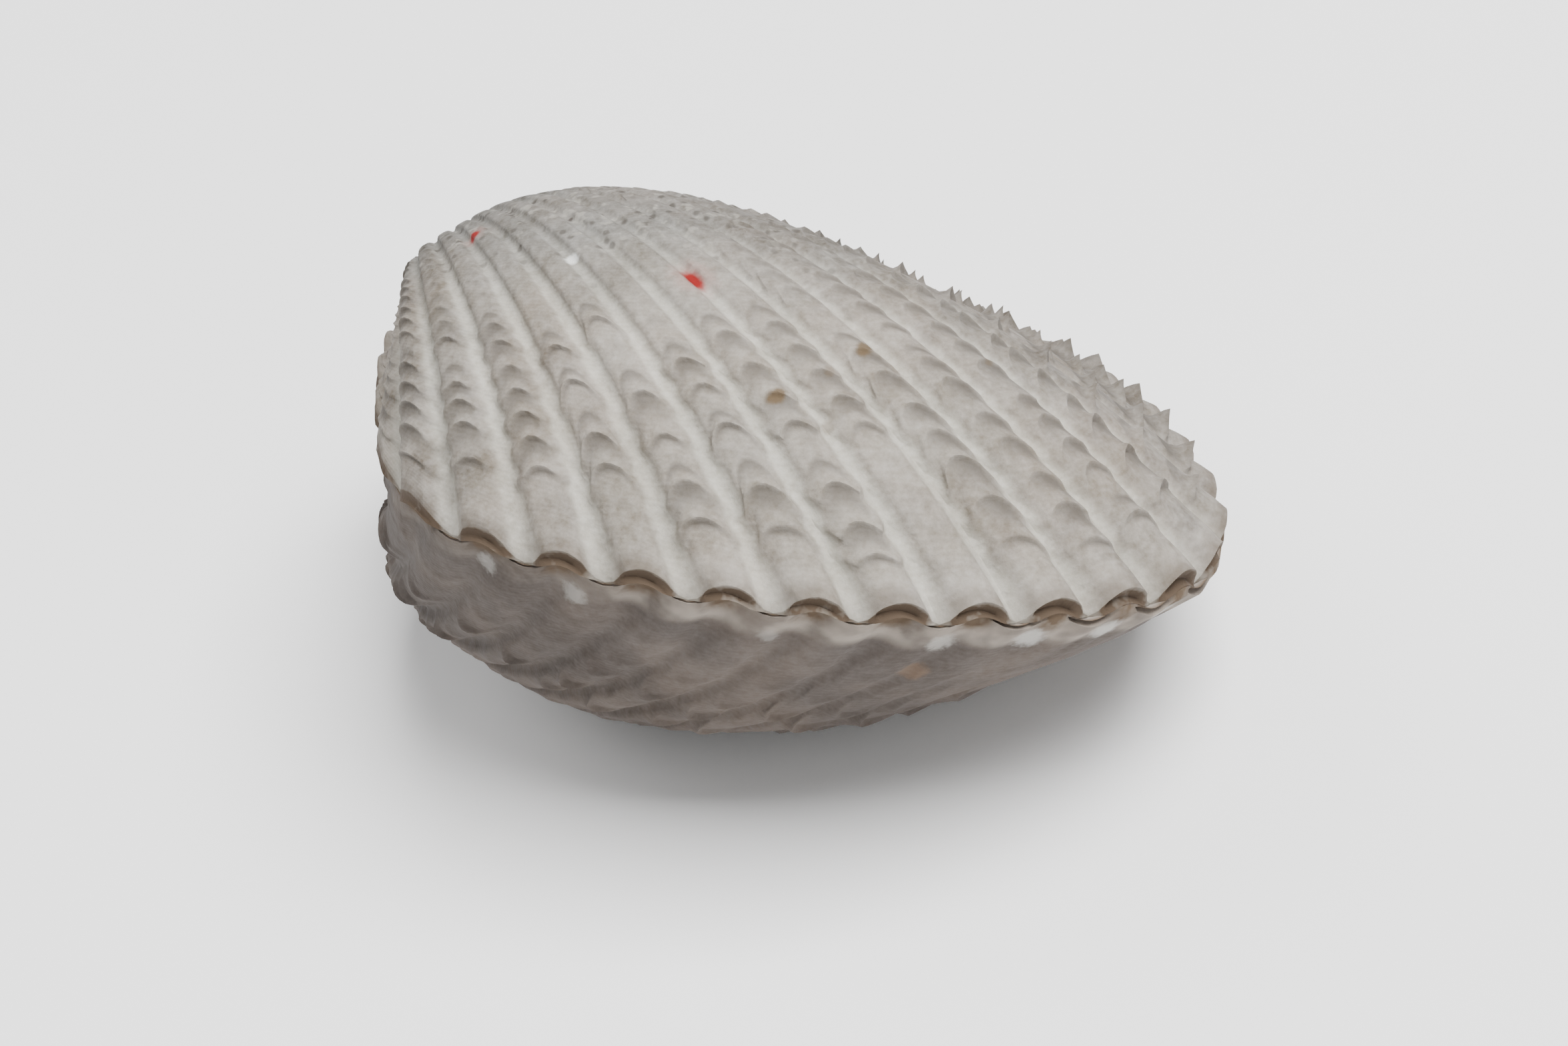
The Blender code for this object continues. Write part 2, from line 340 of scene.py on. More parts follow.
@dataclass
class ValveSkin:
    """One valve with its ribs, its scales and its inner wall.

    Every length is in metres. The skin is a grid laid from the beak to the margin over the outside, round
    the lip and back to the beak over the inside. Marks holds, for a rib, the growth stages at which the
    edges of its scales stand.
    """

    growth: Growth
    side: Side
    rib_shift: float
    finish: ChalkFinish
    marks: dict[int, tuple[float, ...]] = field(default_factory=dict)
    across_steps: tuple[float, ...] = (
        -1.0, -0.78, -0.62, -0.48, -0.34, -0.17, 0.0, 0.17, 0.34, 0.48, 0.62, 0.78,
    )
    ear_columns: int = 5
    beak_rows: int = 6
    wall_rows: int = 15
    first_stage: float = 0.16
    closest: float = 0.0120
    widening: float = 0.0168
    rib_share: float = 1.0
    rib_deep: float = 1.0
    rib_fade: float = 0.0
    rib_arch: float = 0.0
    swell: float = 0.0
    rim_stage: float = 0.990
    scale_middle: float = 0.00048
    scale_flank: float = 0.00210
    scale_growth: float = 1.3
    scale_fade: float = 0.0
    bare: float = 0.60
    vault: float = 0.12
    bow: float = 0.62
    lean: float = 0.42
    flare: float = 0.26
    merging: float = 1e-6
    floor_gap: float = 0.00002
    sharp_edge: float = 60.0
    cut: ScaleCut = field(default_factory=ScaleCut)
    rim: RimCut = field(default_factory=RimCut)

    @property
    def name(self) -> str:
        """Name of the piece."""
        return "upper_valve_skin" if self.side is Side.UPPER else "lower_valve_skin"

    def columns(self) -> tuple[np.ndarray, np.ndarray]:
        """Directions about the beak and rib numbers of the grid's columns, from ear to ear.

        Returns:
            The directions in radians, and the rib numbers.
        """
        g = self.growth
        cells = np.arange(-2, g.rib_count + 2)
        numbers = (self.rib_shift + cells[:, None] + (np.array(self.across_steps) + 1) / 2).ravel()
        numbers = numbers[(numbers > -0.49) & (numbers < g.rib_count + 0.49)]
        numbers = np.concatenate([[-0.5], numbers, [g.rib_count + 0.5]])
        directions = g.rib_direction(numbers)
        left = np.linspace(-math.pi / 2, directions[0], self.ear_columns)[:-1]
        right = np.linspace(directions[-1], math.pi / 2, self.ear_columns)[1:]
        directions = np.concatenate([left[:1], left, directions, right, right[-1:]])
        return directions, np.pad(numbers, self.ear_columns, mode="edge")

    def scale_starts(self) -> np.ndarray:
        """Growth stages at which the scales begin, closer together near the beak.

        Returns:
            The stages, from the beak to the rim.
        """
        starts = [self.rim_stage]
        while starts[-1] > self.first_stage:
            starts.append(starts[-1] - (self.closest + self.widening * starts[-1]))
        return np.array(starts[::-1])

    def rib_place(self, numbers: np.ndarray) -> tuple[np.ndarray, np.ndarray, np.ndarray]:
        """Where each column lies on its rib.

        Args:
            numbers: Places in the rib numbering.

        Returns:
            The rib's own whole number, the place across it from -1 to 1, and whether there is a rib.
        """
        place = numbers - self.rib_shift
        rib = np.floor(place + 1e-9).astype(int)
        across = 2 * (place - rib) - 1
        inside = (rib >= 0) & (rib < self.growth.rib_count - 2 * self.rib_shift)
        return rib, across, inside.astype(float)

    def flank(self, numbers: np.ndarray) -> np.ndarray:
        """How far the scales stand up as on the hind flank: 0 in the middle of the disc, 1 on the flank."""
        return smooth(numbers, *ZONES.flank)

    def plan(self, starts: np.ndarray) -> tuple[np.ndarray, np.ndarray]:
        """Lays out the scales of every rib.

        Args:
            starts: Growth stages at which the rows of scales begin.

        Returns:
            By rib and row, how far the scale is set off its row, and how much of it is left from 0 to 1.
        """
        spacing = np.diff(starts)
        ribs = np.arange(self.growth.rib_count + 1)
        rib, row = np.meshgrid(ribs, np.arange(len(spacing)), indexing="ij")
        offset = (speckle(rib, 0 * rib) - 0.5) * 0.8
        jitter = (speckle(rib, row) - 0.5) * 0.30
        kept = smooth(speckle(rib + 3, row), -0.15, 0.55)
        disc = smooth(rib + 0.5, *ZONES.disc_left) * smooth(rib + 0.5, *ZONES.disc_right)
        kept = kept * (0.85 - self.bare * disc * smooth(starts[row], *ZONES.scales_worn))
        if self.marks:
            odd = (len(spacing) - row) % 2
            kept = np.where(rib >= 16, (1.0 - odd) * (0.55 + 0.45 * speckle(row, rib)), kept)
        highest = self.cut.heights.index(1.0)
        crown = self.cut.steps[highest] - self.vault - 0.45 * self.bow
        for number, marks in self.marks.items():
            seen = starts[:-1] > marks[0] - 0.03
            kept[number][seen] = 0.10
            taken = {}
            for mark in marks:
                wish = (mark - starts[:-1]) / spacing - crown
                free = [k for k in np.argsort(np.abs(wish)) if k not in taken]
                taken[free[0]] = float(np.clip(wish[free[0]], -0.55, 0.55))
            known = sorted(taken)
            offset[number] = np.interp(row[number], known, [taken[k] for k in known])
            kept[number][known] = 0.75 + 0.25 * speckle(np.full(len(known), number), np.array(known))
            jitter[number][seen] = 0.0
        kept[:, -1] = 0.0
        offset = (offset + jitter) * np.clip(np.minimum(row, len(spacing) - 1 - row), 0, 1)
        for k in range(len(spacing) - 1, 0, -1):
            offset[:, k - 1] = np.minimum(offset[:, k - 1], offset[:, k] + 0.30)
        return offset, kept

    def scale_rows(self, numbers: np.ndarray) -> list[tuple[np.ndarray, ...]]:
        """Works out the grid's rows over the scales, from the beak to the rim.

        Args:
            numbers: Rib numbers of the columns.

        Returns:
            For every row: growth stages, heights, painted shade and grime in the hollows, and sideways
                shifts.
        """
        rib, across, on_rib = self.rib_place(numbers)
        starts = self.scale_starts()
        spacing = np.diff(starts)
        offsets, kept = self.plan(starts)
        own = np.clip(rib, 0, self.growth.rib_count)
        body = self.body(numbers)
        half = self.growth.half_width(numbers)
        flank = self.flank(numbers)
        vault = self.vault * (1 - 0.6 * flank) * (1 - across**2)
        lean = self.lean * (1 - 0.5 * smooth(numbers, 6, 12))
        bowed = (np.clip(np.abs(across) / (half - 0.08), 0, 1.0) ** 2 - 0.45) * self.bow
        bowed = bowed - np.interp(across, (-1, -0.78, 0.78, 1), (0, -1, 1, 0)) * lean
        bowed = bowed * (1 - 0.4 * flank) * on_rib
        shade = self.shade(numbers, across)
        window = smooth(1 - np.abs(across), 0.0, 0.40) * on_rib
        blank = np.zeros(len(numbers))
        beak = np.linspace(0.0, starts[0], self.beak_rows + 1)[:-1]
        rows = [(blank + stage, blank, blank, blank) for stage in beak]
        for k, start in enumerate(starts[:-1]):
            left = kept[own, k]
            before = offsets[own, max(k - 1, 0)]
            for j, step in enumerate(self.cut.steps):
                even = j / len(self.cut.steps)
                bend = bowed * min((k + even) / 3, (len(spacing) - k - even) / 3, 1.0)
                drawn = step - vault * smooth(np.array(step), 0.2, 0.9) - even
                offset = before + (offsets[own, k] - before) * min(step / 0.74, 1.0)
                along = even + drawn * body * np.sqrt(left) + offset * body + bend
                height = self.cut.heights[j] ** (1 + flank) * left * body
                # The hollow is painted shade, with some grime, under each scale's edge.
                hollow = self.cut.hollow[j] ** (1 - 0.6 * flank) * np.clip(left * 1.3, 0, 1) * body * shade
                shift = 0.5 * across * self.flare * self.cut.flare[j] * left * window
                rows.append((start + spacing[k] * along, height, hollow, shift))
        return rows

    def outside(self) -> tuple[np.ndarray, Masks]:
        """Points of the outer skin in valve axes and what each point is, for the materials.

        Returns:
            The points by row and column, and masks of the same shape.
        """
        directions, numbers = self.columns()
        _, across, on_rib = self.rib_place(numbers)
        body = self.body(numbers)
        blank = np.zeros(len(numbers))
        rows = self.scale_rows(numbers)
        count = len(rows)
        rows += [(1 - (1 - stage) * body, blank, blank, blank) for stage in self.rim.stages]
        stages, heights, hollows, shifts = (np.array(values) for values in zip(*rows))
        lip = 0.25 + 0.75 * smooth(numbers, *ZONES.clean_lip)
        masks = {
            "rib": np.broadcast_to(self.growth.rise(across, numbers) * on_rib, stages.shape),
            "hollow": hollows,
            "stage": stages,
            "inside": np.zeros(stages.shape),
            "stain": np.zeros(stages.shape),
            "lip": np.broadcast_to(lip, stages.shape),
            "soil_and_shade": np.broadcast_to(self.soil_and_shade(numbers), stages.shape),
        }
        for j, stain in enumerate(self.rim.stains):
            masks["stain"][count + j] = stain * (0.45 + 0.55 * masks["rib"][count + j])
        height = heights * self.scale_size(numbers, across)
        return self.shaped(numbers + shifts, directions, stages, height, count), masks

    def body(self, numbers: np.ndarray) -> np.ndarray:
        """Where a rib carries its scales: 1 on its top, falling to 0 at its sides and off the ribs.

        Args:
            numbers: Places in the rib numbering.

        Returns:
            Numbers from 0 to 1.
        """
        _, across, on_rib = self.rib_place(numbers)
        return smooth(self.growth.half_width(numbers) - 0.02 - np.abs(across), 0.0, 0.22) * on_rib

    def soil_and_shade(self, numbers: np.ndarray) -> np.ndarray:
        """How far the ribs are darkened by grime and painted shade: none mid-disc, more to the left, most
        on the hind flank.
        """
        return 1.2 * smooth(numbers, 10.0, 4.0) + smooth(numbers, 11.0, 15.0) + 0.9 * self.flank(numbers)

    def shade(self, numbers: np.ndarray, across: np.ndarray) -> np.ndarray:
        """Painted shade, with some grime, under a scale: below its crown and, to the right, below its right
        end.

        Args:
            numbers: Places in the rib numbering.
            across: Places across the rib, from -1 to 1.

        Returns:
            Shares of the full painted shade.
        """
        reach = np.clip(across / (self.growth.half_width(numbers) - 0.06), -1, 1)
        # On the right of the disc the painted shade leans to the scales' right ends, away from the light.
        lean = 1.5 * smooth(numbers, 9.0, 14.0)
        spread = 0.90 - 0.30 * lean
        shade = np.clip((1 - reach**2) ** spread * (1 + lean * reach) / (1 + 0.25 * lean), 0, 1.15)
        # On the hind flank painted shade fills the hollows between the fins.
        return np.maximum(shade, 1.15 * self.flank(numbers))

    def scale_size(self, numbers: np.ndarray, across: np.ndarray) -> np.ndarray:
        """Height of a scale's edge: a low arch in the middle of the disc, a tall point on the flank.

        Args:
            numbers: Places in the rib numbering.
            across: Places across the rib, from -1 to 1.

        Returns:
            Heights in metres.
        """
        flank = self.flank(numbers)
        low = 0.40 + 0.60 * smooth(numbers, 1.0, 6.0)
        reach = np.clip(np.abs(across) / (self.growth.half_width(numbers) - 0.10), 0, 1)
        arch = (1 - reach**2) ** 0.95
        return self.scale_middle * low * arch * (1 - flank) + self.scale_flank * (1 - reach) * flank

    def shaped(
        self, numbers: np.ndarray, ends: np.ndarray, stage: np.ndarray, height: np.ndarray, rim: int
    ) -> np.ndarray:
        """Carries the grid out onto the ribs, the scales and the rim.

        Args:
            numbers: Rib number of every point.
            ends: Directions of the columns, which the ears' columns keep.
            stage: Growth stage of every point.
            height: Height of the scales at every point.
            rim: The rim's first row.

        Returns:
            Points of this valve in valve axes.
        """
        g = self.growth
        direction = g.rib_direction(numbers)
        direction[:, : self.ear_columns] = ends[: self.ear_columns]
        direction[:, -self.ear_columns :] = ends[-self.ear_columns :]
        _, across, on_rib = self.rib_place(numbers[0])
        rise = g.rise(across, numbers[0]) * on_rib
        hind = smooth(numbers[0], *ZONES.hind_left) * smooth(numbers[0], *ZONES.hind_right)
        swelling = self.swell * hind * smooth(stage, *ZONES.swelling) * (1 - 0.70 * rise)
        rise = rise * (1 - self.rib_fade * (1 - hind) * smooth(stage, *ZONES.ribs_fading))
        base = g.point(direction, stage)
        base[rim:, :, 2] = 0.0
        normal = g.outward(direction, stage)
        normal[rim:, :, 2] *= np.array(self.rim.arches)[:, None]
        fading = self.scale_fade * smooth(stage, *ZONES.scales_fading)
        height = height * stage**self.scale_growth * (1 - fading)
        share = self.rib_share + (self.rib_deep - self.rib_share) * smooth(stage, *ZONES.deep_ribs)
        relief = rise * g.rib_height * share * stage**g.rib_growth + height + swelling
        skin = base + normal * relief[..., None]
        lip = self.edge(direction, stage) + self.rib_arch * rise * smooth(stage, *ZONES.rim_arches)
        lip[rim:] *= np.array(self.rim.lips)[:, None]
        lip[:, [0, -1]] = 0.0
        skin[..., 2] += lip
        return self.lifted(skin, numbers, stage)

    def edge(self, direction: np.ndarray, stage: np.ndarray) -> np.ndarray:
        """How far the outer skin stands clear of the commissure: a thin lip, thicker on the ears.

        Args:
            direction: Directions about the beak, in radians.
            stage: Growth stages.

        Returns:
            Heights in metres.
        """
        g = self.growth
        height = g.margin_edge + (g.ear_edge - g.margin_edge) * np.sin(direction) ** 4
        return height * np.clip(stage / 0.12, 0, 1)

    def lifted(self, points: np.ndarray, numbers: np.ndarray, stage: np.ndarray) -> np.ndarray:
        """Points moved to their side of the commissure, over its waves and clear of the ligament.

        Args:
            points: Points of the upper valve.
            numbers: Rib numbers of the columns.
            stage: Growth stages of the points.

        Returns:
            Points of this valve in valve axes.
        """
        g = self.growth
        far = np.hypot(points[..., 0], points[..., 1])
        lift = g.beak_lift * np.clip(1 - (far / g.beak_reach) ** 2, 0, 1)
        moved = points.copy()
        moved[..., 2] = self.side.value * (points[..., 2] + lift + g.margin_gap / 2)
        moved[..., 2] += g.wave(numbers, stage)
        return moved

    def inner(self) -> tuple[np.ndarray, Masks]:
        """Points of the inner wall in valve axes and what each point is.

        Returns:
            The points by row and column, from the margin to the beak, and masks of the same shape.
        """
        g = self.growth
        directions, numbers = self.columns()
        angle, stage = np.meshgrid(directions, np.linspace(1.0, 0.0, self.wall_rows))
        wall = g.point(angle, stage)
        reach = np.abs(wall[0]).max(axis=0)
        top = wall[..., 2].max()
        wall[..., 0] *= 1 - 1.3 * g.wall / reach[0]
        wall[..., 1] *= 1 - (g.wall + g.hinge_plate) / reach[1]
        wall[..., 2] *= 1 - g.wall / top
        wall[..., 1] -= g.hinge_plate
        masks = {
            "rib": np.full_like(stage, 0.5),
            "hollow": np.zeros_like(stage),
            "stage": stage,
            "inside": np.ones_like(stage),
            "stain": np.where(stage > 0.99, 0.8, 0.0),
            "lip": np.zeros_like(stage),
            "soil_and_shade": np.zeros_like(stage),
        }
        return self.lifted(wall, numbers, stage), masks

    def build(self) -> bpy.types.Object:
        """Builds the valve's mesh as it lies, with its masks as attributes.

        Returns:
            The finished object.
        """
        outer, outer_masks = self.outside()
        wall, wall_masks = self.inner()
        points = np.concatenate([outer, wall])
        rows, columns = points.shape[:2]
        bm = bmesh.new()
        bmesh.ops.create_grid(bm, x_segments=columns - 1, y_segments=rows - 1, size=1.0)
        layers = {key: bm.verts.layers.float.new(key) for key in outer_masks}
        row_of = bm.verts.layers.int.new("row")
        masks = {key: np.concatenate([outer_masks[key], wall_masks[key]]) for key in outer_masks}
        for vert in bm.verts:
            column = round((vert.co.x + 1) / 2 * (columns - 1))
            row = round((vert.co.y + 1) / 2 * (rows - 1))
            vert[row_of] = row
            for key, layer in layers.items():
                vert[layer] = float(masks[key][row, column])
            vert.co = points[row, column]
        bmesh.ops.remove_doubles(bm, verts=bm.verts, dist=self.merging)
        inside = {vert for vert in bm.verts if vert[row_of] >= len(outer)}
        open_edges = [edge for edge in bm.edges if edge.is_boundary]
        hinge = [edge for edge in open_edges if (edge.verts[0] in inside) == (edge.verts[1] in inside)]
        bmesh.ops.bridge_loops(bm, edges=hinge)
        bmesh.ops.recalc_face_normals(bm, faces=bm.faces)
        bmesh.ops.transform(bm, matrix=self.growth.rest(), verts=bm.verts)
        for vert in bm.verts:
            vert.co.z = max(vert.co.z, self.floor_gap)
        for face in bm.faces:
            face.smooth = True
        piece = finished(bm, self.name)
        piece.data.set_sharp_from_angle(angle=math.radians(self.sharp_edge))
        return piece

    def dress(self, piece: bpy.types.Object, groups: Groups, growth: Growth) -> None:
        """Lays the valve's finish on its piece.

        Args:
            piece: The valve's piece.
            groups: The shared shader groups.
            growth: The surface that the specks are placed on.
        """
        piece.data.materials.append(self.finish.make(groups, growth, self.side))


class Nodes:
    """Adds and joins the nodes of a material or a group."""

    def __init__(self, tree: Tree) -> None:
        """Keeps the tree that the nodes go in."""
        self.tree = tree

    def add(self, kind: str, inputs: Inputs | None = None, **values: object) -> bpy.types.Node:
        """Adds a node.

        Args:
            kind: Blender's name of the node type.
            inputs: Sockets or values for its inputs, by name or place.
            values: Settings of the node.

        Returns:
            The node.
        """
        node = self.tree.nodes.new(kind)
        for key, value in values.items():
            setattr(node, key, value)
        self.fill(node, inputs or {})
        return node

    def fill(self, node: bpy.types.Node, inputs: Inputs) -> None:
        """Links a node's inputs, or sets their values, whichever is given.

        Args:
            node: The node.
            inputs: Sockets or values, by the input's name or place.
        """
        for key, value in inputs.items():
            if isinstance(value, Socket):
                self.tree.links.new(value, node.inputs[key])
            else:
                node.inputs[key].default_value = value

    def sums(self, operation: str, first: object, second: object = 0.0, clamp: bool = False) -> Socket:
        """A Math node.

        Args:
            operation: Its operation.
            first: A socket or a number.
            second: A socket or a number.
            clamp: Whether the result is kept from 0 to 1.

        Returns:
            The result's socket.
        """
        inputs = {0: first, 1: second}
        return self.add("ShaderNodeMath", inputs, operation=operation, use_clamp=clamp).outputs[0]

    def times(self, *parts: object) -> Socket:
        """The product of sockets and numbers."""
        return reduce(partial(self.sums, "MULTIPLY"), parts)

    def plus(self, *parts: object) -> Socket:
        """The total of sockets and numbers."""
        return reduce(partial(self.sums, "ADD"), parts)

    def minus(self, *parts: object) -> Socket:
        """The first socket or number less the others."""
        return reduce(partial(self.sums, "SUBTRACT"), parts)

    def mix(self, factor: object, first: object, second: object) -> Socket:
        """A colour Mix node.

        Args:
            factor: A socket or a number.
            first: The first colour, or its socket.
            second: The second colour, or its socket.

        Returns:
            The mixed colour's socket.
        """
        inputs = {"Factor": factor, 6: first, 7: second}
        return self.add("ShaderNodeMix", inputs, data_type="RGBA").outputs[2]

    def ramp(self, value: Socket, start: float, end: float) -> Socket:
        """A smooth step of a value from 0 at start to 1 at end.

        Args:
            value: The value's socket.
            start: Where the step begins.
            end: Where it ends.

        Returns:
            The graded value's socket.
        """
        inputs = {"Value": value, "From Min": start, "From Max": end}
        return self.add("ShaderNodeMapRange", inputs, interpolation_type="SMOOTHSTEP").outputs["Result"]

    def noise(self, scale: float, detail: float = 3.0, rough: float = 0.6) -> Socket:
        """Noise over the piece's own coordinates.

        Args:
            scale: How fine it is, per metre.
            detail: Levels of detail.
            rough: Strength of the finer levels.

        Returns:
            The noise value's socket.
        """
        inputs = {"Vector": self.spot(), "Scale": scale, "Detail": detail, "Roughness": rough}
        return self.add("ShaderNodeTexNoise", inputs).outputs["Fac"]

    def spot(self) -> Socket:
        """The piece's own coordinates."""
        return self.add("ShaderNodeTexCoord").outputs["Object"]

    def mask(self, name: str) -> Socket:
        """A mask that the piece's mesh carries."""
        return self.add("ShaderNodeAttribute", attribute_name=name).outputs["Fac"]

    def bump(self, height: Socket, strength: float, distance: float) -> Socket:
        """Fine relief over the surface.

        Args:
            height: The socket of its height.
            strength: How much of it shows.
            distance: Its depth in metres.

        Returns:
            The bent normal's socket.
        """
        inputs = {"Height": height, "Strength": strength, "Distance": distance}
        return self.add("ShaderNodeBump", inputs).outputs["Normal"]


def start_material(name: str) -> tuple[bpy.types.Material, Nodes, bpy.types.Node]:
    """Makes a plain material to be filled in.

    Args:
        name: Its name.

    Returns:
        The material, a helper for its nodes, and its shader.
    """
    material = bpy.data.materials.new(name)
    material.use_nodes = True
    return material, Nodes(material.node_tree), material.node_tree.nodes["Principled BSDF"]


def start_group(
    name: str, takes: dict[str, str], gives: tuple[str, ...]
) -> tuple[Tree, Nodes, bpy.types.NodeOutputs]:
    """Makes an empty shader group with its sockets.

    Args:
        name: The group's name.
        takes: Names and kinds of its inputs.
        gives: Names of its outputs, which are all numbers.

    Returns:
        The group, a helper for its nodes, and the sockets that bring its inputs in.
    """
    tree = bpy.data.node_groups.new(name, "ShaderNodeTree")
    for label, kind in takes.items():
        tree.interface.new_socket(name=label, in_out="INPUT", socket_type=kind)
    for label in gives:
        tree.interface.new_socket(name=label, in_out="OUTPUT", socket_type=NUMBER)
    nodes = Nodes(tree)
    return tree, nodes, nodes.add("NodeGroupInput").outputs


class Groups:
    """Shader groups that the finishes share, each made once."""

    @cached_property
    def chalk(self) -> Tree:
        """Chalky lime: soft mottling of the tone, dark pores, and the height of its grain and growth lines.

        Returns:
            The group.
        """
        takes = {"Stage": NUMBER, "Grain": NUMBER}
        tree, n, given = start_group("chalk", takes, ("Tone", "Pits", "Height"))
        broad = n.noise(140.0)
        fine = n.noise(1500.0, 4.0, 0.7)
        cells = n.add("ShaderNodeTexVoronoi", {"Vector": n.spot(), "Scale": 900.0}).outputs
        chosen = n.add("ShaderNodeSeparateColor", {"Color": cells["Color"]}).outputs["Red"]
        pores = n.minus(1.0, n.ramp(cells["Distance"], 0.14, 0.36))
        pores = n.times(pores, n.ramp(chosen, 0.20, 0.60))
        lines = n.sums("SINE", n.plus(n.times(given["Stage"], 1150.0), n.times(n.noise(420.0), 9.0)))
        tone = n.plus(n.times(broad, 0.45), n.times(fine, 0.55), n.times(lines, 0.012))
        height = n.plus(n.times(fine, given["Grain"]), n.times(lines, 0.03))
        height = n.minus(height, n.times(pores, 0.25))
        n.add("NodeGroupOutput", {"Tone": tone, "Pits": pores, "Height": height})
        return tree

    @cached_property
    def speck(self) -> Tree:
        """A small crust or stain about one place: 1 at its middle, 0 outside its ragged edge.

        Returns:
            The group.
        """
        takes = dict.fromkeys(("Centre", "Along", "Outward"), PLACE)
        takes |= dict.fromkeys(("Radius", "Stretch", "Ragged"), NUMBER)
        tree, n, given = start_group("speck", takes, ("Mask",))
        ends = {0: n.spot(), 1: given["Centre"]}
        away = n.add("ShaderNodeVectorMath", ends, operation="SUBTRACT").outputs["Vector"]
        along, total, above = (
            n.add("ShaderNodeVectorMath", {0: away, 1: other}, operation="DOT_PRODUCT").outputs["Value"]
            for other in (given["Along"], away, given["Outward"])
        )
        lifted = n.times(n.times(above, above), 0.94)
        shrink = n.minus(1.0, n.sums("DIVIDE", 1.0, n.times(given["Stretch"], given["Stretch"])))
        squared = n.minus(total, lifted, n.times(along, along, shrink))
        distance = n.sums("SQRT", n.sums("MAXIMUM", squared, 0.0))
        ragged = n.times(n.minus(n.noise(1800.0), 0.5), given["Ragged"])
        share = n.plus(n.sums("DIVIDE", distance, given["Radius"]), ragged)
        n.add("NodeGroupOutput", {"Mask": n.minus(1.0, n.ramp(share, 0.45, 1.15))})
        return tree


@dataclass(frozen=True)
class Speck:
    """A natural crust or stain at one place of a valve's skin."""

    number: float
    stage: float
    radius: float
    colour: Colour
    strength: float = 1.0
    stretch: float = 1.0
    ragged: float = 0.8
    height: float = 0.0

    def lay(self, n: Nodes, group: Tree, growth: Growth, side: Side, colour: Socket) -> Socket:
        """Lays the speck over the colour below it.

        Args:
            n: The material's nodes.
            group: The shared group of a speck.
            growth: The surface it is placed on.
            side: The valve.
            colour: The colour below it.

        Returns:
            The colour with the speck.
        """
        centre = growth.place(side, self.number, self.stage, self.height)
        beyond = growth.place(side, self.number, self.stage + 0.01, self.height)
        above = growth.place(side, self.number, self.stage, self.height + 0.001)
        inputs = {
            "Centre": centre,
            "Along": (beyond - centre).normalized(),
            "Outward": (above - centre).normalized(),
            "Radius": self.radius,
            "Stretch": self.stretch,
            "Ragged": self.ragged,
        }
        spot = n.add("ShaderNodeGroup", inputs, node_tree=group)
        return n.mix(n.times(spot.outputs["Mask"], self.strength), colour, self.colour)


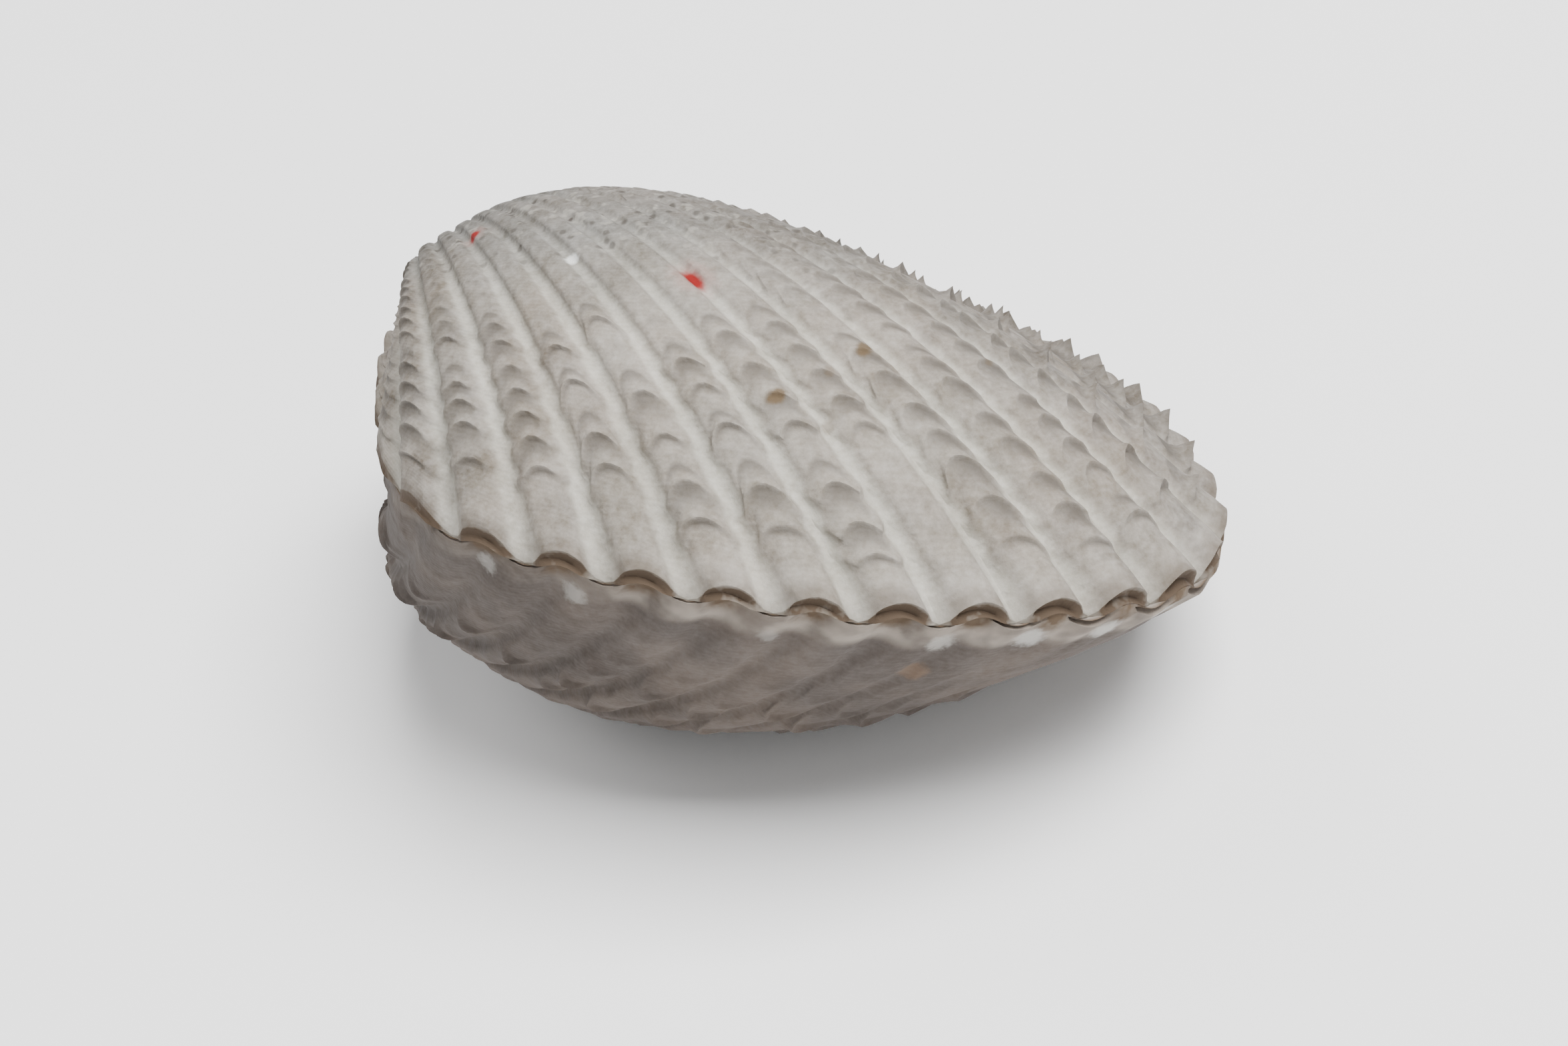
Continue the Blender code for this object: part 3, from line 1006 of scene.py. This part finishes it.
@dataclass(frozen=True)
class ChalkFinish:
    """Weathered lime of a valve's outside and its smoother inside."""

    name: str
    rib: Colour
    groove: Colour
    # Colour of grime, and of painted shade between the fins of the hind flank.
    dirt_and_shade: Colour
    stain: Colour
    lip: Colour
    # Worn grey of the top towards the beak, darkened further as painted shade.
    aged_and_shaded: Colour
    lining: Colour = (0.72, 0.69, 0.65, 1.0)
    pit: Colour = (0.060, 0.052, 0.044, 1.0)
    # Colour of the painted shade, with some grime, in the hollows under the scales.
    shade: Colour = (0.078, 0.067, 0.056, 1.0)
    warmth: Colour = (0.37, 0.29, 0.23, 1.0)
    # How far the painted shade in the hollows darkens the colour.
    hollow_shade_and_dirt: float = 0.74
    mottle: float = 0.44
    soiling_and_shade: float = 0.0
    rib_stain: float = 0.0
    groove_stain: float = 0.0
    lip_share: float = 0.0
    grain: float = 0.5
    grain_strength: float = 0.55
    grain_depth: float = 0.00024
    dullness: float = 0.86
    gloss: float = 0.35
    specks: tuple[Speck, ...] = ()

    def make(self, groups: Groups, growth: Growth, side: Side) -> bpy.types.Material:
        """Makes the material.

        Args:
            groups: The shared shader groups.
            growth: The surface that the specks are placed on.
            side: The valve.

        Returns:
            The material.
        """
        material, n, shader = start_material(self.name)
        inside = n.mask("inside")
        hollow = n.mask("hollow")
        stage = n.mask("stage")
        chalk = n.add("ShaderNodeGroup", {"Stage": stage, "Grain": self.grain}, node_tree=groups.chalk)
        # Worn towards the beak, where the colour also carries painted shade.
        aged_and_shaded = n.ramp(n.plus(stage, n.times(n.noise(180.0), 0.10)), 0.84, 0.58)
        colour = self.ground(n, chalk, aged_and_shaded)
        # Painted shade, with some grime, in the hollows under the scales, weaker where the top is worn.
        painted_hollow_shade = n.minus(self.hollow_shade_and_dirt, n.times(aged_and_shaded, 0.35))
        painted_hollow_shade = n.sums("MULTIPLY", hollow, painted_hollow_shade, clamp=True)
        colour = n.mix(painted_hollow_shade, colour, self.shade)
        colour = self.rimmed(n, colour)
        for speck in self.specks:
            colour = speck.lay(n, groups.speck, growth, side, colour)
        rough = n.plus(n.minus(self.dullness, n.times(inside, 0.42)), n.times(hollow, 0.06))
        height = n.times(chalk.outputs["Height"], n.minus(1.0, n.times(inside, 0.85)))
        inputs = {
            "Base Color": n.mix(inside, colour, self.lining),
            "Roughness": rough,
            "Normal": n.bump(height, self.grain_strength, self.grain_depth),
            "Specular IOR Level": self.gloss,
        }
        n.fill(shader, inputs)
        return material

    def ground(self, n: Nodes, chalk: bpy.types.Node, aged_and_shaded: Socket) -> Socket:
        """The lime's colour: ribs and grooves, a worn top with painted shade, blotches of grime and painted
        shade, mottling, pores and bloom.

        Args:
            n: The material's nodes.
            chalk: The chalk group's node.
            aged_and_shaded: How old and worn the surface is, with painted shade towards the beak.

        Returns:
            The colour.
        """
        rib = n.mask("rib")
        soil_and_shade = n.mask("soil_and_shade")
        colour = n.mix(n.ramp(rib, 0.12, 0.80), self.groove, self.rib)
        colour = n.mix(n.times(aged_and_shaded, 0.85), colour, self.aged_and_shaded)
        # Grimy, blotched ribs, with painted shade between the fins of the hind flank.
        colour = n.mix(n.times(soil_and_shade, rib, self.soiling_and_shade), colour, self.dirt_and_shade)
        blotchy = n.plus(n.times(rib, 0.22), n.times(soil_and_shade, self.soiling_and_shade), 0.05)
        patch = n.times(n.ramp(n.noise(230.0), 0.46, 0.70), blotchy)
        colour = n.mix(patch, colour, self.dirt_and_shade)
        warm = n.times(n.ramp(n.noise(95.0, 2.0), 0.42, 0.66), 0.10)
        colour = n.mix(warm, colour, self.warmth)
        lighter = n.times(n.minus(chalk.outputs["Tone"], 0.5), self.mottle)
        colour = n.add("ShaderNodeBrightContrast", {"Color": colour, "Bright": lighter}).outputs["Color"]
        colour = n.mix(n.times(chalk.outputs["Pits"], aged_and_shaded, 0.85), colour, self.pit)
        bloom = n.times(n.ramp(n.noise(900.0, 2.0), 0.56, 0.68), aged_and_shaded, 0.40)
        return n.mix(bloom, colour, self.groove)

    def rimmed(self, n: Nodes, colour: Socket) -> Socket:
        """Lays the pale lip and the brown stain of the rib ends along the margin.

        Args:
            n: The material's nodes.
            colour: The colour below them.

        Returns:
            The colour with both.
        """
        stage = n.mask("stage")
        pale = n.times(n.ramp(stage, 0.968, 0.982), n.mask("lip"), self.lip_share)
        pale = n.times(pale, n.plus(n.ramp(n.noise(330.0, 2.0), 0.30, 0.62), 0.35))
        colour = n.mix(pale, colour, self.lip)
        share = n.plus(n.times(n.mask("rib"), self.rib_stain - self.groove_stain), self.groove_stain)
        fringe = n.sums("MAXIMUM", n.times(n.ramp(stage, 0.980, 0.997), share), n.mask("stain"))
        uneven = n.plus(n.ramp(n.noise(420.0), 0.30, 0.62), 0.70)
        return n.mix(n.sums("MULTIPLY", fringe, uneven, clamp=True), colour, self.stain)


@dataclass(frozen=True)
class HornFinish:
    """Dark brown, finely layered horn of a dried ligament."""

    name: str = "dried_ligament"
    dark: Colour = (0.055, 0.028, 0.014, 1.0)
    light: Colour = (0.16, 0.085, 0.04, 1.0)
    dullness: float = 0.35
    layer_strength: float = 0.4
    layer_depth: float = 0.00008

    def make(self) -> bpy.types.Material:
        """Makes the material.

        Returns:
            The material.
        """
        material, n, shader = start_material(self.name)
        layer = n.noise(2600.0)
        inputs = {
            "Base Color": n.mix(layer, self.dark, self.light),
            "Roughness": n.plus(n.times(layer, 0.3), self.dullness),
            "Normal": n.bump(layer, self.layer_strength, self.layer_depth),
        }
        n.fill(shader, inputs)
        return material


@dataclass
class Ligament:
    """The dried springy pad between the beaks. Its lengths are in metres."""

    growth: Growth
    length: float = 0.0060
    front: float = 0.0004
    back: float = 0.0020
    gap: float = 0.00032
    thinnest: float = 0.00012
    rounding: float = 0.00008
    ripple: float = 0.06
    ripples_per_metre: float = 9000
    segments: int = 24
    finish: HornFinish = field(default_factory=HornFinish)

    def build(self) -> bpy.types.Object:
        """Builds the pad: a box cut into slices, thinned towards its ends and rounded.

        Returns:
            The finished object.
        """
        g = self.growth
        bm = bmesh.new()
        bmesh.ops.create_cube(bm, size=1.0)
        along = [edge for edge in bm.edges if abs(edge.verts[0].co.x - edge.verts[1].co.x) > 0.5]
        bmesh.ops.subdivide_edges(bm, edges=along, cuts=self.segments, use_grid_fill=True)
        for vert in bm.verts:
            x = vert.co.x * self.length
            room = g.margin_gap / 2 + g.beak_lift * (1 - (math.hypot(x, g.hinge_plate) / g.beak_reach) ** 2)
            half = max(room - self.gap, self.thinnest)
            deep = self.front + (0.5 - vert.co.y) * (self.back - self.front)
            ripple = 1 + self.ripple * math.sin(x * self.ripples_per_metre)
            vert.co = (x, -deep, 2 * vert.co.z * half * ripple)
        long_edges = [edge for edge in bm.edges if edge.calc_length() > 0 and edge.calc_face_angle(0) > 0.6]
        bmesh.ops.bevel(
            bm, geom=long_edges, affect="EDGES", offset=self.rounding, segments=2, profile=0.5, material=-1
        )
        bmesh.ops.recalc_face_normals(bm, faces=bm.faces)
        bmesh.ops.transform(bm, matrix=g.rest(), verts=bm.verts)
        for face in bm.faces:
            face.smooth = True
        return finished(bm, "ligament_pad")

    def dress(self, piece: bpy.types.Object) -> None:
        """Lays the horny finish on the pad."""
        piece.data.materials.append(self.finish.make())


@dataclass
class Studio:
    """The pale floor, the soft lights and the camera at the photograph's angle.

    Angles are in radians and lengths in metres, but the beak's place, the focal length and the frame are in
    the photograph's pixels, and the film width in millimetres.
    """

    growth: Growth
    azimuth: float = 0.538
    elevation: float = 0.403
    roll: float = -0.109
    beak_at: tuple[float, float] = (858.7, 478.2)
    beak_depth: float = 0.2874
    focal: float = 5100.9
    frame: tuple[int, int] = (2350, 1568)
    film: float = 36.0
    aim: tuple[float, float, float] = (0.0, -0.03, 0.02)
    paper: Colour = (0.92, 0.92, 0.92, 1.0)
    daylight: float = 0.43

    def camera(self) -> None:
        """Sets the camera from the beak's place in the photograph and the way the shell is turned."""
        al, el, ro = self.azimuth, self.elevation, self.roll
        sideways = Vector((math.cos(al), math.sin(al), 0))
        ventral = Vector((math.sin(al), -math.cos(al), 0))
        to_valve = Matrix((sideways, -ventral, (0, 0, 1)))
        level = Vector((1, 0, 0))
        rise = Vector((0, math.sin(el), math.cos(el)))
        ahead = Vector((0, math.cos(el), -math.sin(el)))
        right = math.cos(ro) * level - math.sin(ro) * rise
        up = math.sin(ro) * level + math.cos(ro) * rise
        right, up, ahead = (to_valve @ axis for axis in (right, up, ahead))
        across = (self.beak_at[0] - self.frame[0] / 2) / self.focal * self.beak_depth
        above = (self.frame[1] / 2 - self.beak_at[1]) / self.focal * self.beak_depth
        spot = -(across * right + above * up + self.beak_depth * ahead)
        turn = Matrix((right, up, -ahead)).transposed().to_4x4()
        data = bpy.data.cameras.new("camera")
        data.sensor_width = self.film
        data.lens = self.focal / self.frame[0] * self.film
        data.clip_start = 0.01
        camera = bpy.data.objects.new("camera", data)
        camera.matrix_world = self.growth.rest() @ Matrix.Translation(spot) @ turn
        bpy.context.scene.collection.objects.link(camera)
        bpy.context.scene.camera = camera

    def floor(self) -> None:
        """Lays a wide pale floor."""
        bm = bmesh.new()
        bmesh.ops.create_grid(bm, x_segments=8, y_segments=8, size=3.0)
        floor = finished(bm, "floor")
        material, n, shader = start_material("floor_paper")
        n.fill(shader, {"Base Color": self.paper, "Roughness": 0.9})
        floor.data.materials.append(material)

    def light(self, name: str, spot: tuple[float, float, float], size: float, power: float) -> None:
        """Hangs one soft square light that faces the shell.

        Args:
            name: The light's name.
            spot: Where it hangs, in metres.
            size: Its side.
            power: Its power in watts.
        """
        data = bpy.data.lights.new(name, "AREA")
        data.size = size
        data.energy = power
        lamp = bpy.data.objects.new(name, data)
        lamp.location = spot
        ahead = Vector(self.aim) - Vector(spot)
        lamp.rotation_euler = ahead.to_track_quat("-Z", "Y").to_euler()
        bpy.context.scene.collection.objects.link(lamp)

    def build(self) -> None:
        """Sets up the whole studio."""
        self.floor()
        self.light("key", (0.24, -0.20, 0.90), 0.6, 23.0)
        self.light("fill", (0.10, -0.80, 0.50), 0.7, 1.9)
        self.light("rim", (-0.35, 0.6, 0.6), 0.6, 3.2)
        world = bpy.data.worlds.new("room")
        world.use_nodes = True
        inputs = {"Color": (1.0, 1.0, 1.0, 1.0), "Strength": self.daylight}
        Nodes(world.node_tree).fill(world.node_tree.nodes["Background"], inputs)
        bpy.context.scene.world = world
        self.camera()


UPPER_SCALES = {
    5: (0.788, 0.846, 0.866, 0.890, 0.924),
    6: (0.788, 0.818, 0.844, 0.868, 0.892, 0.918),
    7: (0.788, 0.826, 0.878, 0.904),
    8: (0.748, 0.830, 0.874, 0.908, 0.936, 0.970),
    9: (0.792, 0.822, 0.854, 0.904, 0.934, 0.964),
    10: (0.758, 0.792, 0.822, 0.848, 0.900, 0.930, 0.956),
    11: (0.744, 0.770, 0.796, 0.822, 0.846),
    12: (0.772, 0.796, 0.828, 0.852, 0.876, 0.908, 0.938, 0.964),
    13: (0.740, 0.780, 0.802, 0.836, 0.860, 0.892, 0.918, 0.946, 0.978),
    14: (0.784, 0.822, 0.844, 0.868, 0.892, 0.934, 0.978),
    15: (0.856, 0.890, 0.930, 0.962),
}


def upper_finish() -> ChalkFinish:
    """The upper valve's grey-beige chalk with its red and orange specks, brown rim and dark pits.

    Returns:
        The finish.
    """
    red = (0.20, 0.004, 0.003, 1.0)
    halo = (0.34, 0.17, 0.15, 1.0)
    white = (0.62, 0.62, 0.60, 1.0)
    rust = (0.105, 0.070, 0.036, 1.0)
    drab = (0.15, 0.115, 0.08, 1.0)
    pit = (0.045, 0.035, 0.030, 1.0)
    return ChalkFinish(
        name="upper_chalk",
        rib=(0.257, 0.234, 0.200, 1.0),
        groove=(0.366, 0.348, 0.303, 1.0),
        # Worn top, darkened further as painted shade.
        aged_and_shaded=(0.120, 0.117, 0.108, 1.0),
        # Grime, and painted shade between the fins of the hind flank.
        dirt_and_shade=(0.112, 0.098, 0.084, 1.0),
        stain=(0.068, 0.046, 0.029, 1.0),
        lip=(0.44, 0.41, 0.37, 1.0),
        lip_share=0.15,
        soiling_and_shade=0.30,
        rib_stain=0.30,
        groove_stain=0.05,
        specks=(
            Speck(10.98, 0.686, 0.00180, halo, strength=0.25, stretch=1.3),
            Speck(10.98, 0.686, 0.00068, red, stretch=2.0, ragged=0.4),
            Speck(7.32, 0.574, 0.00120, halo, strength=0.25),
            Speck(7.32, 0.574, 0.00062, red, ragged=0.3),
            Speck(9.04, 0.652, 0.00060, white, strength=0.9),
            Speck(12.67, 0.770, 0.00098, rust, strength=0.9, stretch=0.7),
            Speck(10.57, 0.824, 0.00098, rust, strength=0.9, stretch=0.7),
            Speck(11.74, 0.796, 0.00055, rust, strength=0.40),
            Speck(14.69, 0.784, 0.00055, rust, strength=0.40),
            Speck(11.05, 0.848, 0.00060, drab, strength=0.45),
            Speck(10.05, 0.564, 0.00024, pit, strength=0.85),
            Speck(8.33, 0.470, 0.00024, pit, strength=0.85),
            Speck(8.86, 0.530, 0.00026, pit, strength=0.85),
            Speck(12.87, 0.606, 0.00024, pit, strength=0.80),
            Speck(11.74, 0.578, 0.00020, pit, strength=0.75),
            Speck(8.95, 0.500, 0.00022, pit, strength=0.80),
        ),
    )


def lower_finish() -> ChalkFinish:
    """The lower valve's chalk: a darker hue and painted shade on the body, with its pale lip.

    Returns:
        The finish.
    """
    pale = (0.34, 0.325, 0.30, 1.0)
    paler = (0.42, 0.41, 0.385, 1.0)
    rust = (0.16, 0.10, 0.06, 1.0)
    return ChalkFinish(
        name="lower_chalk_with_painted_shade",
        # The body colours are partly a darker hue and partly painted shade of the downward-facing valve.
        rib=(0.0740, 0.0605, 0.0525, 1.0),
        groove=(0.0775, 0.0640, 0.0560, 1.0),
        aged_and_shaded=(0.0740, 0.0605, 0.0525, 1.0),
        dirt_and_shade=(0.070, 0.057, 0.049, 1.0),
        stain=(0.092, 0.062, 0.038, 1.0),
        lip=(0.27, 0.235, 0.199, 1.0),
        lip_share=0.80,
        shade=(0.050, 0.041, 0.035, 1.0),
        hollow_shade_and_dirt=0.12,
        mottle=0.11,
        rib_stain=0.10,
        groove_stain=0.90,
        specks=(
            Speck(5.62, 0.974, 0.00095, pale, strength=0.60, ragged=1.1),
            Speck(6.78, 0.974, 0.00110, pale, strength=0.60, ragged=1.1),
            Speck(9.22, 0.970, 0.00080, pale, strength=0.35, ragged=1.1),
            Speck(11.35, 0.972, 0.00120, pale, strength=0.75, ragged=1.1),
            Speck(12.45, 0.978, 0.00130, paler, strength=0.75, ragged=0.9, height=0.0006),
            Speck(13.50, 0.980, 0.00130, paler, strength=0.80, ragged=0.9, height=0.0008),
            Speck(14.52, 0.982, 0.00120, paler, strength=0.60, ragged=0.9, height=0.0008),
            Speck(11.59, 0.928, 0.00130, rust, strength=0.5),
        ),
    )


def settle(piece: bpy.types.Object, node: str) -> None:
    """Puts a finished piece in the place of its node and reports it.

    Args:
        piece: The finished piece.
        node: The node of the solids that it stands for.
    """
    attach(piece, "root")
    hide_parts(node)
    log.info("%s: %d points, %d faces", piece.name, len(piece.data.vertices), len(piece.data.polygons))


def main() -> None:
    """Builds and dresses the shell, then the studio."""
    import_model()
    growth = Growth()
    groups = Groups()
    upper = ValveSkin(
        growth, Side.UPPER, 0.0, upper_finish(), marks=UPPER_SCALES, rib_arch=0.00060, bare=0.74
    )
    lower = ValveSkin(
        replace(growth, rib_growth=0.7),
        Side.LOWER,
        0.5,
        lower_finish(),
        rib_share=0.48,
        rib_deep=1.20,
        rib_fade=0.75,
        swell=0.0010,
        closest=0.0110,
        widening=0.0340,
        scale_middle=0.00070,
        scale_flank=0.00130,
        scale_growth=0.4,
        scale_fade=0.88,
        rim=RimCut(stains=(0.0, 0.15, 0.45, 0.80)),
    )
    for valve in (upper, lower):
        piece = valve.build()
        valve.dress(piece, groups, growth)
        settle(piece, valve.side.name.lower() + "_valve")
    ligament = Ligament(growth)
    pad = ligament.build()
    ligament.dress(pad)
    settle(pad, "ligament")
    Studio(growth).build()


if __name__ == "__main__":
    main()
